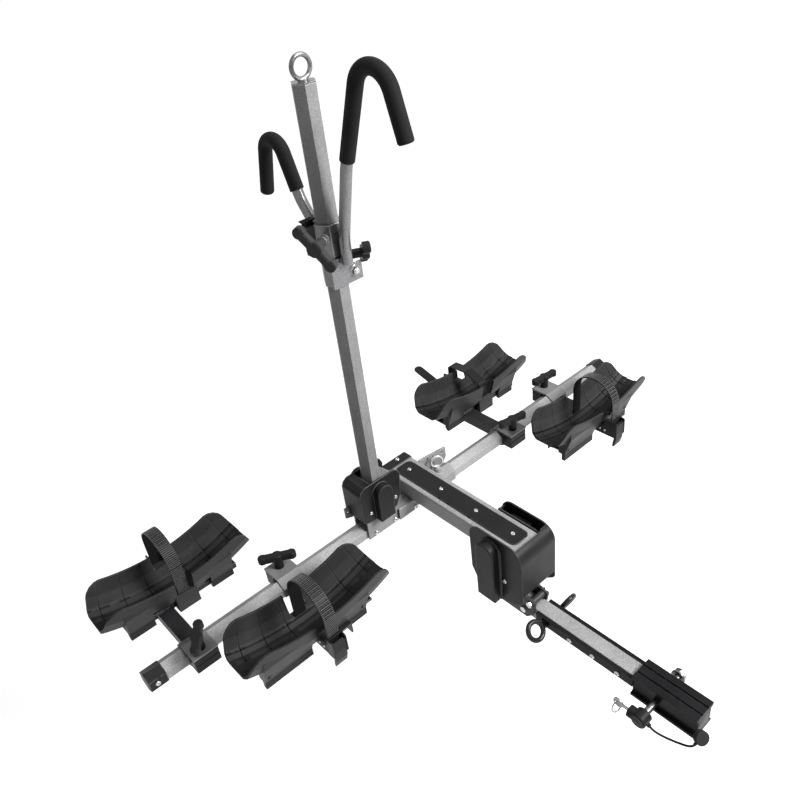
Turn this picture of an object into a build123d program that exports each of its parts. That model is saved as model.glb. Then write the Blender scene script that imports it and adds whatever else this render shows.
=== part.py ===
from build123d import *
import os
from math import sin, cos, tan, radians, sqrt

os.makedirs("parts", exist_ok=True)

# Rear bike rack with a tilting platform, a folding mast and four wheel trays.
# Millimetres. The origin is the hitch pin's centre in the receiver sleeve, +Y points to the vehicle,
# +Z is up and X runs along the crossbar.

# main layout
bar_y = -608.0          # crossbar's centre line behind the hitch pin
bar_z = 99.0            # crossbar's centre line above the hitch pin
bar_flats = 33.2        # crossbar's width across the flats
bar_half = 640.0
bar_wall = 2.5
bar_fit = 0.35          # running gap of the sliding clamps around the crossbar
weld_fit = 0.1          # gap per side of the welded collar around the crossbar
pivot_y = bar_y + 256   # platform's pivot
pivot_z = bar_z + 39
pivot_r = 5.0
pivot_run = 0.05        # radial running gap of every turning pin
mast_x = 108.0
mast_flats = 35.4
mast_pivot_z = bar_z + 92
mast_foot_z = bar_z + 50
mast_top_z = bar_z + 868
mast_wall = 2.5
root3 = sqrt(3.0)

# stinger and receiver sleeve
stinger = 31.0          # outside of the square tube
stinger_wall = 3.0
stinger_rear = bar_y + 215
sleeve_size = 50.0
sleeve_rear = -48.0
sleeve_front = 76.0
stinger_front = sleeve_front - 1.0
shank_fit = 0.25
hitch_r = 6.35
hitch_fit = 0.1

# beam
beam_half = 33.5
beam_bottom = bar_z + 20.1
beam_top = bar_z + 58.4
beam_rear = bar_y - 42
beam_front = bar_y + 311
beam_wall = 3.0
inlay_half = 22.0
inlay_thick = 2.0

# mast plates and covers
plate_in = 18.2         # inner face of the mast plates from the bar's centre plane
plate_out = 22.2
cover_in = 25.0
cover_out = 28.0

cover_left = beam_half + 2.5            # inner faces of the front cover's side walls
cover_right = -beam_half - 20.5
cover_wall = 3.0
skin_deep = 61.0                        # how far back the front cover's skin reaches from its front

# release handle, kept a set way inside the cover's right wall
handle_x = cover_right + 6
handle_half = 4.0
stem_half = 2.0
handle_run = 0.3                        # clearance of its stem in the guide's slot

# screw sizes and the holes they pass through
m5_r = 2.5
m5_hole = 2.6
m6_r = 3.0
m6_hole = 3.1
m8_r = 4.0
m8_hole = 4.1

# trays: distance of each clamp from the rack's centre plane
tray_left_rear = bar_half - 98
tray_left_front = bar_half - 306
tray_right_rear = 360 - bar_half
tray_right_front = 183 - bar_half
tray_mid_x = 40.0       # cradle's centre from its clamp, along the bar
tray_mid_y = 136.0      # cradle's centre from the bar's centre line
wheel_axis_z = bar_z + 421
cradle_out_r = 406.0
cradle_rim_r = 345.0
cradle_wall = 4.0
cradle_half_angle = 23.0
strap_x = 43.0
strap_wide = 24.0
strap_thick = 2.5
strap_in_y = 103.0
strap_out_y = 206.0


def save(piece, name, place=Location((0, 0, 0))):
    shape = piece.part.moved(place)
    shape.label = name
    export_step(shape, f"parts/{name}.step")


def block(x0, x1, y0, y1, z0, z1, mode=Mode.ADD):
    with Locations(((x0 + x1) / 2, (y0 + y1) / 2, (z0 + z1) / 2)):
        Box(x1 - x0, y1 - y0, z1 - z0, mode=mode)


def prism_x(points, x0, x1, mode=Mode.ADD):
    with BuildSketch(Plane.YZ.offset(x0)) as face:
        with BuildLine():
            Polyline(*points, close=True)
        make_face()
    extrude(face.sketch, amount=x1 - x0, mode=mode)


def prism_y(points, y0, y1, mode=Mode.ADD):
    with BuildSketch(Plane.XZ.offset(-y1)) as face:
        with BuildLine():
            Polyline(*points, close=True)
        make_face()
    extrude(face.sketch, amount=y1 - y0, mode=mode)


def prism_z(points, z0, z1, mode=Mode.ADD):
    with BuildSketch(Plane.XY.offset(z0)) as face:
        with BuildLine():
            Polyline(*points, close=True)
        make_face()
    extrude(face.sketch, amount=z1 - z0, mode=mode)


def rod(start, direction, length, radius, mode=Mode.ADD):
    with BuildSketch(Plane(origin=start, z_dir=direction)) as face:
        Circle(radius)
    extrude(face.sketch, amount=length, mode=mode)


def hex_rod(start, direction, length, flats, mode=Mode.ADD):
    with BuildSketch(Plane(origin=start, z_dir=direction)) as face:
        RegularPolygon(flats / 2, 6, major_radius=False)
    extrude(face.sketch, amount=length, mode=mode)


def button(start, direction, radius, height):
    # domed screw head with a hexagon socket
    rod(start, direction, height * 0.4, radius)
    top = Vector(*start) + Vector(*direction) * (height * 0.4)
    with BuildSketch(Plane(origin=top, z_dir=direction)) as face:
        Circle(radius)
    extrude(face.sketch, amount=height * 0.6, taper=38)
    crown = Vector(*start) + Vector(*direction) * (height * 0.35)
    hex_rod(crown, direction, height, radius * 0.8, Mode.SUBTRACT)


def bar_hexagon(flats):
    # hexagon around the crossbar in Y and Z, corner up
    r = flats / root3
    a = flats / 2
    ring = [(0, r), (-a, r / 2), (-a, -r / 2), (0, -r), (a, -r / 2), (a, r / 2)]
    return [(bar_y + y, bar_z + z) for y, z in ring]


def mast_hexagon(flats):
    # hexagon around the mast in X and Y, corners along the crossbar
    r = flats / root3
    a = flats / 2
    ring = [(r, 0), (r / 2, a), (-r / 2, a), (-r, 0), (-r / 2, -a), (r / 2, -a)]
    return [(mast_x + x, bar_y + y) for x, y in ring]


def lift(points):
    # from the crossbar's centre line to the part's frame
    return [(bar_y + y, bar_z + z) for y, z in points]


def raise_z(points):
    return [(x, bar_z + z) for x, z in points]


def span(side, a, b):
    # two distances from the bar's centre plane as rising Y values on one side
    return sorted((bar_y + side * a, bar_y + side * b))


def rounded_x(points, corners, x0, x1, mode=Mode.ADD):
    # prism along X; corners lists the rounded ones as (number, radius)
    with BuildSketch(Plane.YZ.offset(x0)) as face:
        with BuildLine():
            Polyline(*points, close=True)
        make_face()
        for number, radius in corners:
            fillet(face.vertices().sort_by_distance((*points[number], 0))[0], radius)
    extrude(face.sketch, amount=x1 - x0, mode=mode)



# stinger: the square tube that carries the rack
rail_screw_y = (bar_y + 425, bar_y + 476, bar_y + 529)
rail_screw_z = 1.0
eye_y = bar_y + 367
eye_z = 2.0
plate_bolts = ((bar_y + 317, 3.0), (bar_y + 228, 3.0))
spacer_bolt = (bar_y + 332, 27.0)
half = stinger / 2
inner = half - stinger_wall
with BuildPart() as stinger_tube:
    block(-half, half, stinger_rear, stinger_front, -half, half)
    fillet(stinger_tube.edges().filter_by(Axis.Y), 2.5)
    block(-inner, inner, stinger_rear, stinger_front, -inner, inner, Mode.SUBTRACT)
    rod((-30, 0, 0), (1, 0, 0), 60, hitch_r + hitch_fit, Mode.SUBTRACT)
    rod((-30, eye_y, eye_z), (1, 0, 0), 60, m8_hole, Mode.SUBTRACT)
    for y in rail_screw_y:
        rod((-30, y, rail_screw_z), (1, 0, 0), 60, m5_hole, Mode.SUBTRACT)
    for y, z in plate_bolts:
        rod((-30, y, z), (1, 0, 0), 60, m8_hole, Mode.SUBTRACT)
save(stinger_tube, "stinger_tube")

# side rails: dark channels with a lip along the top edge
rail_rear = bar_y + 346
rail_front = sleeve_rear
rail_out = half + 5.5
with BuildPart() as side_rails:
    for side in (-1, 1):
        profile = [(side * half, -8), (side * rail_out, -8), (side * rail_out, 12), (side * (rail_out + 2), 12),
                   (side * (rail_out + 2), 15), (side * half, 15)]
        prism_y(profile, rail_rear, rail_front)
        rod((side * 10, eye_y, eye_z), (side, 0, 0), 20, m8_hole, Mode.SUBTRACT)
        for y in rail_screw_y:
            rod((side * 10, y, rail_screw_z), (side, 0, 0), 20, m5_hole, Mode.SUBTRACT)
save(side_rails, "side_rails")

# six button screws that hold the rails
with BuildPart() as rail_screws:
    for side in (-1, 1):
        for y in rail_screw_y:
            rod((side * (half - 3), y, rail_screw_z), (side, 0, 0), 8.5, m5_r)
            button((side * rail_out, y, rail_screw_z), (side, 0, 0), 5, 3.2)
save(rail_screws, "rail_screws")

# receiver sleeve: finned extrusion that fills the vehicle's square receiver
s = sleeve_size / 2
web = half + shank_fit + 3.0
with BuildPart() as receiver_sleeve:
    outline = [(-s, s), (-11, s), (-10.4, s - 2.5), (-8.1, s - 2.5), (-7.5, s), (7.5, s), (8.1, s - 2.5),
               (10.4, s - 2.5), (11, s), (s, s), (s, s - 7), (web, s - 9), (web, 7 - s), (s, 5 - s), (s, -s), (-s, -s),
               (-s, 5 - s), (-web, 7 - s), (-web, s - 9), (-s, s - 7)]
    prism_y(outline, sleeve_rear, sleeve_front)
    hole = half + shank_fit
    block(-hole, hole, sleeve_rear, sleeve_front, -hole, hole, Mode.SUBTRACT)
    rod((-40, 0, 0), (1, 0, 0), 80, hitch_r + hitch_fit, Mode.SUBTRACT)
save(receiver_sleeve, "receiver_sleeve")

# hitch pin with its head and washer
lock_x0 = 55.0          # near face of the lock's hub
lock_hub_r = 14.0
lock_hub_long = 22.0
pin_depth = 11.0        # how far the pin reaches into the hub
pin_head_x = -47.0
with BuildPart() as hitch_pin:
    rod((pin_head_x, 0, 0), (1, 0, 0), lock_x0 + pin_depth - pin_head_x, hitch_r)
    rod((pin_head_x, 0, 0), (1, 0, 0), 3.5, 13)
    hex_rod((pin_head_x - 9, 0, 0), (1, 0, 0), 9, 19)
    fillet(hitch_pin.edges().filter_by(GeomType.CIRCLE).group_by(Axis.X)[-1], 1.5)
save(hitch_pin, "hitch_pin")

# lock on the pin's end: hub around the pin, barrel with the key bore, nub for the cord
key_x = lock_x0 + 11.5
barrel_end = -22.0
plug_r = 6.0
plug_long = 8.0
nub_way = Vector(0, 0.786, -0.618).normalized()
nub_start = Vector(lock_x0 + 7, 0, 0) + nub_way * (lock_hub_r - 1)
nub_long = 6.0
with BuildPart() as pin_lock_body:
    rod((lock_x0, 0, 0), (1, 0, 0), lock_hub_long, lock_hub_r)
    fillet(pin_lock_body.edges().group_by(Axis.X)[-1], 3)
    rod((key_x, 0, 0), (0, -1, 0), -barrel_end, 11)
    rod(nub_start, nub_way, nub_long, 4)
    rod((lock_x0 - 1, 0, 0), (1, 0, 0), pin_depth + 1, hitch_r + 0.02, Mode.SUBTRACT)
    rod((key_x, barrel_end, 0), (0, 1, 0), plug_long, plug_r + pivot_run, Mode.SUBTRACT)
save(pin_lock_body, "pin_lock_body")

# key with its turning plug, bow and split ring
with BuildPart() as lock_key:
    rod((key_x, barrel_end - 0.6, 0), (0, 1, 0), plug_long + 0.2, plug_r)
    block(key_x - 1, key_x + 1, barrel_end - 14, barrel_end - 0.6, -4, 4)
    rod((key_x - 1.2, barrel_end - 22, 0), (1, 0, 0), 2.4, 10)
    rod((key_x - 2, barrel_end - 27, -3), (1, 0, 0), 4, 2.8, Mode.SUBTRACT)
    with Locations(Plane(origin=(key_x + 0.5, barrel_end - 24.7, -14.9), z_dir=(0.2, 1, 0.25))):
        Torus(10, 1.1)
save(lock_key, "lock_key")

# two black eye bolts through the rails into the stinger
eye_ring_x = 47.5
eye_ring_r = 17.0
eye_wire_r = 5.0
with BuildPart() as eye_bolts:
    for side, normal in ((1, (0, 0.755, 0.655)), (-1, (0, 0.917, -0.398))):
        rod((side * (half - 3), eye_y, eye_z), (side, 0, 0), eye_ring_x - eye_ring_r - half + 3, m8_r)
        rod((side * rail_out, eye_y, eye_z), (side, 0, 0), 4, 9)
        with Locations(Plane(origin=(side * eye_ring_x, eye_y, eye_z), z_dir=normal)):
            Torus(eye_ring_r, eye_wire_r)
save(eye_bolts, "eye_bolts")

# lock tether: straight runs joined by tangent arcs, from the lock's nub to the dust cap's lug
tether_r = 2.0
cap_axis = Vector(0.35, 0.8, 0.5).normalized()
cap_centre = Vector(30, 88.5, 0)
cap_side = Vector(0.911, -0.165, -0.379).normalized()
cap_r = 12.5
cap_lug = 16.0
lug_end = cap_centre + cap_side * cap_lug
lug_run = cap_centre + cap_side * (cap_lug + 6)
nub_end = nub_start + nub_way * nub_long
tether_points = [tuple(nub_end), tuple(nub_end + nub_way * 8), (56, 38, -23), (49, 60, -24), tuple(lug_run),
                 tuple(lug_end)]


def arc_radii(points):
    radii = []
    for a, b, c in zip(points, points[1:], points[2:]):
        one = Vector(*b) - Vector(*a)
        two = Vector(*c) - Vector(*b)
        turn = radians(one.get_angle(two))
        radii.append(0.45 * min(one.length, two.length) / tan(turn / 2))
    return radii


tether_radii = arc_radii(tether_points)
print("tether radii", [round(r, 1) for r in tether_radii])
with BuildPart() as tether_cord:
    with BuildLine() as tether_path:
        FilletPolyline(*tether_points, radius=tether_radii)
    with BuildSketch(Plane(origin=tether_points[0], z_dir=Vector(*tether_points[1]) - Vector(*tether_points[0]))):
        Circle(tether_r)
    sweep(path=tether_path.line)
save(tether_cord, "tether_cord")

# rubber dust cap on the tether's end
with BuildPart() as lock_dust_cap:
    rod(cap_centre - cap_axis * 5, cap_axis, 10, cap_r)
    fillet(lock_dust_cap.edges(), 1.2)
    rod(cap_centre + cap_side * (cap_r - 2), cap_side, cap_lug - cap_r + 2, 2.8)
    rod(cap_centre - cap_axis * 5.1, cap_axis, 7, cap_r - 2.8, Mode.SUBTRACT)
save(lock_dust_cap, "lock_dust_cap")

# pivot plates: steel cheeks clamped on the stinger's rear end, rising to the platform's pivot
plate_thick = 5.5
hub_r = 15.0
plate_outline = lift([(213, -115), (323, -115), (338, -99), (344, -66), (322, -60.5), (292, -27), (271, -22),
                      (271, 39), (241, 39), (241, -25), (215, -45)])
plate_face = half + plate_thick
with BuildPart() as pivot_plates:
    for side in (-1, 1):
        near = half if side > 0 else -plate_face
        prism_x(plate_outline, near, near + plate_thick)
        rod((near, pivot_y, pivot_z), (1, 0, 0), plate_thick, hub_r)
        rod((near, pivot_y, pivot_z), (1, 0, 0), plate_thick, pivot_r, Mode.SUBTRACT)
    # spacer tube between the plates above the stinger
    rod((-half, *spacer_bolt), (1, 0, 0), stinger, 7)
    for y, z in plate_bolts + (spacer_bolt,):
        rod((-plate_face, y, z), (1, 0, 0), 2 * plate_face, m8_hole, Mode.SUBTRACT)
save(pivot_plates, "pivot_plates")

# pivot pin with two end discs, the three bolts through the plates and the cover's side screws
pin_end = beam_half + 2.0
cover_screw = (bar_y + 285.5, bar_z - 28)
with BuildPart() as pivot_bolts:
    rod((-pin_end, pivot_y, pivot_z), (1, 0, 0), 2 * pin_end, pivot_r)
    for side in (-1, 1):
        rod((side * (beam_half + 0.4), pivot_y, pivot_z), (side, 0, 0), 1.6, 8)
    for y, z in plate_bolts + (spacer_bolt,):
        rod((-plate_face, y, z), (1, 0, 0), 2 * plate_face, m8_r)
        for side in (-1, 1):
            hex_rod((side * plate_face, y, z), (side, 0, 0), 5, 12)
    button((cover_left + cover_wall, *cover_screw), (1, 0, 0), 5, 3)
    button((cover_right - cover_wall, *cover_screw), (-1, 0, 0), 5, 3)
save(pivot_bolts, "pivot_bolts")

# front cover around the pivot: two side walls, rolled front skin, raised bulge and a hollow for the handle
cover_outline = lift([(199, -46), (198, 69), (329, 69), (329, -62), (309, -78), (277, -84), (232, -84), (210, -68)])
cover_top = bar_z + 69
cover_front = bar_y + 329
skin_foot = bar_z - 45
rear_top_r = 27.0
front_top_r = 32.0
front_foot_r = 10.0
lip_y = bar_y + 312
roof_y = bar_y + 309
bulge_y = bar_y + 252.5
bulge_z = bar_z + 34.5
bulge_r = 22.5
bulge_wall = 3.0
bulge_rise = 20.0
bulge_foot = bar_z - 84
ledge = 2.5
cover_boss = lift([(285, -32), (290, -68)])
hollow_in = beam_half + 2.4
hollow_out = beam_half + 4.9
hollow_rear = bar_y + 205
hollow_front = bar_y + 308
hollow_foot = bar_z - 20
guide_y0 = bar_y + 240
guide_y1 = bar_y + 262
stem_y0 = bar_y + 243
stem_y1 = bar_y + 259


def skin_block(inset):
    # rectangle whose top front corner is rolled; inset moves its front and top inwards
    rear = cover_front - 60
    front = cover_front - inset
    top = cover_top - inset
    points = [(rear, skin_foot - inset), (rear, top), (front, top), (front, skin_foot - inset)]
    rounded_x(points, ((2, front_top_r - inset),), cover_right - cover_wall - inset, cover_left + cover_wall + inset,
              Mode.SUBTRACT if inset else Mode.ADD)


with BuildPart() as front_cover:
    skin_block(0)
    skin_block(cover_wall)
    block(-hollow_in - 1, cover_left + 10, cover_front - skin_deep, lip_y, skin_foot, cover_top + 1, Mode.SUBTRACT)
    block(cover_right - 10, -hollow_in - 1, cover_front - skin_deep, roof_y, skin_foot, cover_top + 1, Mode.SUBTRACT)
    corners = ((1, rear_top_r), (2, front_top_r), (3, front_foot_r))
    rounded_x(cover_outline, corners, cover_left, cover_left + cover_wall)
    rounded_x(cover_outline, corners, cover_right - cover_wall, cover_right)
    # bulge on the left wall, open at its foot, with a ledge around its base
    outside = cover_left + cover_wall
    rise = outside + bulge_rise
    rod((cover_left, bulge_y, bulge_z), (1, 0, 0), rise - cover_left, bulge_r)
    block(cover_left, rise, bulge_y - bulge_r, bulge_y + bulge_r, bulge_foot, bulge_z)
    fillet(front_cover.edges().filter_by_position(Axis.X, rise - 0.01, rise + 0.01), 2.5)
    rod((outside, bulge_y, bulge_z), (1, 0, 0), 2, bulge_r + ledge)
    block(outside, outside + 2, bulge_y - bulge_r - ledge, bulge_y + bulge_r + ledge, bulge_foot, bulge_z)
    rod((cover_left - 1, bulge_y, bulge_z), (1, 0, 0), rise - cover_left + 1 - bulge_wall,
        bulge_r - bulge_wall, Mode.SUBTRACT)
    block(cover_left - 1, rise - bulge_wall, bulge_y - bulge_r + bulge_wall, bulge_y + bulge_r - bulge_wall,
          bulge_foot - 10, bulge_z, Mode.SUBTRACT)
    # hollow for the release handle: inner wall, guide with a slot, short floor
    block(-hollow_out, -hollow_in, hollow_rear, hollow_front, hollow_foot, bar_z + 58)
    block(cover_right, -hollow_in - 1, hollow_rear, hollow_rear + 3, hollow_foot, bar_z + 56)
    block(cover_right, -hollow_in - 1, hollow_front - 3, hollow_front, hollow_foot, bar_z + 58)
    block(cover_right, -hollow_in - 1, guide_y0, guide_y1, bar_z + 10, bar_z + 16)
    slot_half = stem_half + handle_run
    block(handle_x - slot_half, handle_x + slot_half, stem_y0 - handle_run, stem_y1 + handle_run,
          bar_z + 9, bar_z + 17, Mode.SUBTRACT)
    block(-hollow_out, -hollow_in, hollow_front, cover_front - cover_wall + 0.5, hollow_foot, bar_z + 40)
    # bosses that reach the pivot plates
    for y, z in cover_boss:
        rod((plate_face, y, z), (1, 0, 0), cover_left - plate_face + 0.5, 5)
        rod((cover_right - 0.5, y, z), (1, 0, 0), -plate_face - cover_right + 0.5, 5)
save(front_cover, "front_cover")

# release handle: bar with a stem that slides up in the cover's guide
with BuildPart() as release_handle:
    block(handle_x - handle_half, handle_x + handle_half, bar_y + 230.5, bar_y + 277.5, bar_z + 44, bar_z + 50.5)
    fillet(release_handle.edges().filter_by(Axis.Z), 3)
    fillet(release_handle.edges().group_by(Axis.Z)[-1], 1.5)
    block(handle_x - stem_half, handle_x + stem_half, stem_y0, stem_y1, bar_z - 12, bar_z + 45)
    block(handle_x - handle_half, handle_x + handle_half, stem_y0 - 2, stem_y1 + 2, bar_z - 12, bar_z - 8)
save(release_handle, "release_handle")

# beam: rectangular tube, slotted below at its front end for the pivot plates
inlay_screw_y = (bar_y - 12, bar_y + 83, bar_y + 180, bar_y + 275)
slot_rear = bar_y + 190
collar_flats = 40.0
with BuildPart() as beam_tube:
    block(-beam_half, beam_half, beam_rear, beam_front, beam_bottom, beam_top)
    fillet(beam_tube.edges().filter_by(Axis.Y), 3)
    block(-beam_half + beam_wall, beam_half - beam_wall, beam_rear, beam_front, beam_bottom + beam_wall,
          beam_top - beam_wall, Mode.SUBTRACT)
    block(-plate_face - 2, plate_face + 2, slot_rear, beam_front, beam_bottom - 1, beam_bottom + beam_wall + 1,
          Mode.SUBTRACT)
    prism_x(bar_hexagon(collar_flats), -beam_half - 5, beam_half + 5, Mode.SUBTRACT)
    rod((-beam_half - 5, pivot_y, pivot_z), (1, 0, 0), 2 * beam_half + 10, pivot_r + pivot_run, Mode.SUBTRACT)
    for y in inlay_screw_y:
        rod((0, y, beam_top - 5), (0, 0, 1), 6, m5_hole, Mode.SUBTRACT)
save(beam_tube, "beam_tube")

# inlay strip along the beam's top
with BuildPart() as beam_inlay:
    with BuildSketch(Plane.XY.offset(beam_top)):
        with Locations((0, bar_y + 131.5)):
            RectangleRounded(2 * inlay_half, 335, 12)
    extrude(amount=inlay_thick)
    for y in inlay_screw_y:
        rod((0, y, beam_top - 1), (0, 0, 1), 5, m5_hole, Mode.SUBTRACT)
save(beam_inlay, "beam_inlay")

# block that closes the beam's rear end
end_screw = (-6, bar_y - 57)
end_block_top = bar_z + 60
with BuildPart() as beam_end_block:
    block(-beam_half - 0.5, beam_half + 0.5, bar_y - 68, beam_rear, bar_z + 18.5, end_block_top)
    fillet(beam_end_block.edges().group_by(Axis.Y)[0], 4)
    block(-beam_half + beam_wall + 0.2, beam_half - beam_wall - 0.2, beam_rear, beam_rear + 12,
          beam_bottom + beam_wall + 0.2, beam_top - beam_wall - 0.2)
    rod((*end_screw, end_block_top - 10), (0, 0, 1), 12, m5_hole, Mode.SUBTRACT)
save(beam_end_block, "beam_end_block")

# button screws of the inlay, end block, collar channel and end caps
collar_bolt_x = 26.9
collar_bolt_z = bar_z - 1
channel_x0 = 20.0
channel_face = bar_y + 28
cap_screw_x = bar_half - 12
cap_flats = bar_flats + 3.4
with BuildPart() as platform_screws:
    for y in inlay_screw_y:
        rod((0, y, beam_top - 4), (0, 0, 1), 4 + inlay_thick, m5_r)
        button((0, y, beam_top + inlay_thick), (0, 0, 1), 4.5, 2.6)
    rod((*end_screw, end_block_top - 9), (0, 0, 1), 9, m5_r)
    button((*end_screw, end_block_top), (0, 0, 1), 4.5, 2.6)
    rod((collar_bolt_x, bar_y + 12, collar_bolt_z), (0, 1, 0), channel_face - bar_y - 12, m6_r)
    button((collar_bolt_x, channel_face, collar_bolt_z), (0, 1, 0), 5.5, 3.4)
    for side in (-1, 1):
        rod((side * cap_screw_x, bar_y + 12, bar_z), (0, 1, 0), cap_flats / 2 - 12, m5_r)
        button((side * cap_screw_x, bar_y + cap_flats / 2, bar_z), (0, 1, 0), 4.8, 2.6)
save(platform_screws, "platform_screws")

# crossbar: hexagonal tube, corner up
plunger_x = -67.0
plunger_r = 4.0
plate_bolt_x = (79.4, 131.1)
plate_bolt_z = bar_z - 3.3
with BuildPart() as crossbar:
    prism_x(bar_hexagon(bar_flats), -bar_half, bar_half)
    prism_x(bar_hexagon(bar_flats - 2 * bar_wall), -bar_half, bar_half, Mode.SUBTRACT)
    rod((plunger_x, bar_y, bar_z + 5), (0, 0, 1), 20, plunger_r + 0.3, Mode.SUBTRACT)
    rod((collar_bolt_x, bar_y + 10, collar_bolt_z), (0, 1, 0), 10, m6_hole, Mode.SUBTRACT)
    for x in plate_bolt_x:
        rod((x, bar_y + 10, plate_bolt_z), (0, 1, 0), 10, m6_hole, Mode.SUBTRACT)
    for side in (-1, 1):
        rod((side * cap_screw_x, bar_y + 10, bar_z), (0, 1, 0), 10, m5_hole, Mode.SUBTRACT)
save(crossbar, "crossbar")

# slip-over caps on the crossbar's ends
cap_long = 34.0
cap_end = 3.0
with BuildPart() as bar_end_caps:
    for side in (-1, 1):
        outer = bar_half + cap_end
        x0 = -outer if side < 0 else outer - cap_long
        prism_x(bar_hexagon(cap_flats), x0, x0 + cap_long)
        x0 = -bar_half if side < 0 else outer - cap_long
        prism_x(bar_hexagon(bar_flats + 2 * weld_fit), x0, x0 + cap_long - cap_end, Mode.SUBTRACT)
        rod((side * cap_screw_x, bar_y + 10, bar_z), (0, 1, 0), 10, m5_hole, Mode.SUBTRACT)
save(bar_end_caps, "bar_end_caps")

# carrier bracket: welded collar around the crossbar, front and rear mast plates, plunger seat
collar_x0 = -100.0
collar_x1 = 72.0
front_plate = raise_z([(71, -11), (150, -11), (150, 30), (146, 60), (146, 104), (138, 112), (84, 112), (74, 102),
                       (71, 60)])
rear_plate = raise_z([(-111, 26), (-111, 50), (-43, 58), (-34.8, 58), (-34.8, 19.5), (34.8, 19.5), (34.8, 70),
                      (74, 112), (138, 112), (146, 102), (150, 61), (170.5, 61), (170.5, 37), (150, 30), (150, -11),
                      (-85, -11)])
plate_holes = ((-99, 43), (-72, 46), (-56, 50), (164, 48.7), (52, 62), (96, 30), (132, 30))
channel = lift([(8, 19.5), (28, 19.5), (28, -8), (18, -8), (18, -5.5), (25.5, -5.5), (25.5, 17), (8, 17)])
with BuildPart() as carrier_bracket:
    prism_x(bar_hexagon(collar_flats), collar_x0, collar_x1)
    prism_x(channel, channel_x0, collar_x1 - 1)
    prism_y(front_plate, bar_y + plate_in, bar_y + plate_out)
    prism_y(rear_plate, bar_y - plate_out, bar_y - plate_in)
    block(71, 150, bar_y + bar_flats / 2 + weld_fit, bar_y + plate_in, bar_z - 9, bar_z + 9)
    rod((plunger_x, bar_y, bar_z + 17), (0, 0, 1), 13, 8)
    prism_x(bar_hexagon(bar_flats + 2 * weld_fit), collar_x0 - 20, 180, Mode.SUBTRACT)
    rod((plunger_x, bar_y, bar_z + 10), (0, 0, 1), 30, plunger_r + pivot_run, Mode.SUBTRACT)
    rod((mast_x, bar_y - 30, mast_pivot_z), (0, 1, 0), 60, pivot_r + 0.02, Mode.SUBTRACT)
    rod((collar_bolt_x, bar_y + 14, collar_bolt_z), (0, 1, 0), 20, m6_hole, Mode.SUBTRACT)
    for x in plate_bolt_x:
        rod((x, bar_y + 14, plate_bolt_z), (0, 1, 0), 10, m6_hole, Mode.SUBTRACT)
    for x, z in plate_holes:
        rod((x, bar_y - plate_out - 1, bar_z + z), (0, 1, 0), plate_out - plate_in + 2, m6_r, Mode.SUBTRACT)
save(carrier_bracket, "carrier_bracket")

# mast housing: side plates with raised bulges, left wall rolled over the top
mast_plate = raise_z([(74, 35), (88, 30), (150, 38), (161, 46), (161, 112), (157, 121), (147, 127), (72, 127),
                      (62, 121), (57, 109), (62, 56)])
hood = raise_z([(161, 46), (161, 112), (157, 121), (147, 127), (131, 127), (131, 124), (146, 124), (154.5, 119),
                (158, 111.3), (158, 46)])
hood_side = raise_z([(131, 108), (131, 127), (147, 127), (157, 121), (161, 112), (161, 46), (150, 46), (150, 108)])
mast_bulge_x = 110.0
mast_bulge_r = 18.5
mast_bulge_z = bar_z + 100
mast_bulge_foot = bar_z + 36
mast_bulge_out = 45.0
mast_bulge_wall = 3.0
mast_screws = ((139.8, 59), (75.7, 59.5))
with BuildPart() as mast_cover:
    for side in (-1, 1):
        y0, y1 = span(side, cover_in, cover_out)
        prism_y(mast_plate, y0, y1)
        y0, y1 = span(side, plate_out + 0.4, cover_in)
        prism_y(hood_side, y0, y1)
        y0, y1 = span(side, cover_in, mast_bulge_out)
        block(mast_bulge_x - mast_bulge_r, mast_bulge_x + mast_bulge_r, y0, y1, mast_bulge_foot, mast_bulge_z)
        rod((mast_bulge_x, y0, mast_bulge_z), (0, 1, 0), y1 - y0, mast_bulge_r)
        rim_y = bar_y + side * mast_bulge_out
        fillet(mast_cover.edges().filter_by_position(Axis.Y, rim_y - 0.01, rim_y + 0.01), 2)
        y0, y1 = span(side, cover_in - 3, mast_bulge_out - mast_bulge_wall)
        hollow_r = mast_bulge_r - mast_bulge_wall
        block(mast_bulge_x - hollow_r, mast_bulge_x + hollow_r, y0, y1, mast_bulge_foot - 6, mast_bulge_z,
              Mode.SUBTRACT)
        rod((mast_bulge_x, y0, mast_bulge_z), (0, 1, 0), y1 - y0, hollow_r, Mode.SUBTRACT)
        for x, z in mast_screws:
            y0, y1 = span(side, plate_out, cover_in + 1)
            rod((x, y0, bar_z + z), (0, 1, 0), y1 - y0, 5)
    prism_y(hood, bar_y - cover_in - 1, bar_y + cover_in + 1)
    # slot for the rear plate's end
    block(149, 172, bar_y - plate_out - 0.4, bar_y - plate_in + 0.4, bar_z + 36, bar_z + 61.4, Mode.SUBTRACT)
save(mast_cover, "mast_cover")

# mast pivot bolt, the plate bolts into the crossbar and the cover screws
with BuildPart() as mast_pivot_bolt:
    rod((mast_x, bar_y - plate_out, mast_pivot_z), (0, 1, 0), 2 * plate_out, pivot_r)
    for side in (-1, 1):
        hex_rod((mast_x, bar_y + side * plate_out, mast_pivot_z), (0, side, 0), 7, 17)
        for x, z in mast_screws:
            button((x, bar_y + side * cover_out, bar_z + z), (0, side, 0), 4, 2.4)
    for x in plate_bolt_x:
        rod((x, bar_y + 12, plate_bolt_z), (0, 1, 0), plate_out - 12, m6_r)
        button((x, bar_y + plate_out, plate_bolt_z), (0, 1, 0), 5.5, 3.4)
save(mast_pivot_bolt, "mast_pivot_bolt")

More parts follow.
